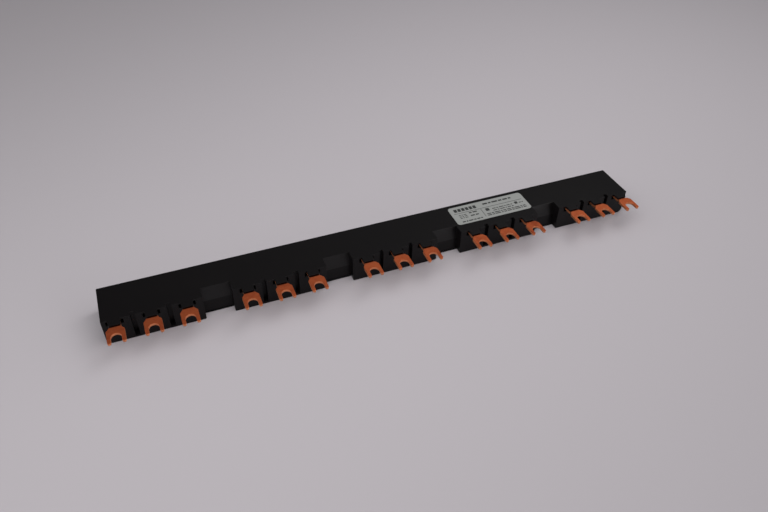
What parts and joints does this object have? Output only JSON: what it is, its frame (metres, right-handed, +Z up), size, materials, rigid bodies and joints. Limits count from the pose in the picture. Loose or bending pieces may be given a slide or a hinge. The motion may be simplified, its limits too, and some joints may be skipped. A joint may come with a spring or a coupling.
{
  "type": "comb busbar",
  "caption": "Straight three-phase comb busbar: a slim moulded housing with toothed front, copper rails inside and rows of copper fork tags that slide under breaker terminal screws.",
  "frame": {"origin": "under the middle of the whole bar, on the plane that its base rests on", "axes": "+X along the bar from the first breaker to the last, +Y from the fork tips to the back, +Z up out of the top face"},
  "size_m": [0.2596, 0.0332, 0.0128],
  "materials": {
    "housing": "black moulded thermoplastic with a fine spark-eroded texture",
    "copper": "bare copper sheet, rolled and punched",
    "insulation": "natural laminated insulation",
    "label": "silver-grey polyester film with dark print"
  },
  "bodies": {
    "root": {"housing_cover": "housing", "housing_base": "housing", "insulating_strip": "insulation", "rail_l1": "copper", "rail_l2": "copper", "rail_l3": "copper", "fork_1_l1": "copper", "fork_1_l2": "copper", "fork_1_l3": "copper", "fork_2_l1": "copper", "fork_2_l2": "copper", "fork_2_l3": "copper", "fork_3_l1": "copper", "fork_3_l2": "copper", "fork_3_l3": "copper", "fork_4_l1": "copper", "fork_4_l2": "copper", "fork_4_l3": "copper", "fork_5_l1": "copper", "fork_5_l2": "copper", "fork_5_l3": "copper", "rating_label": "label"}
  },
  "joints": []
}
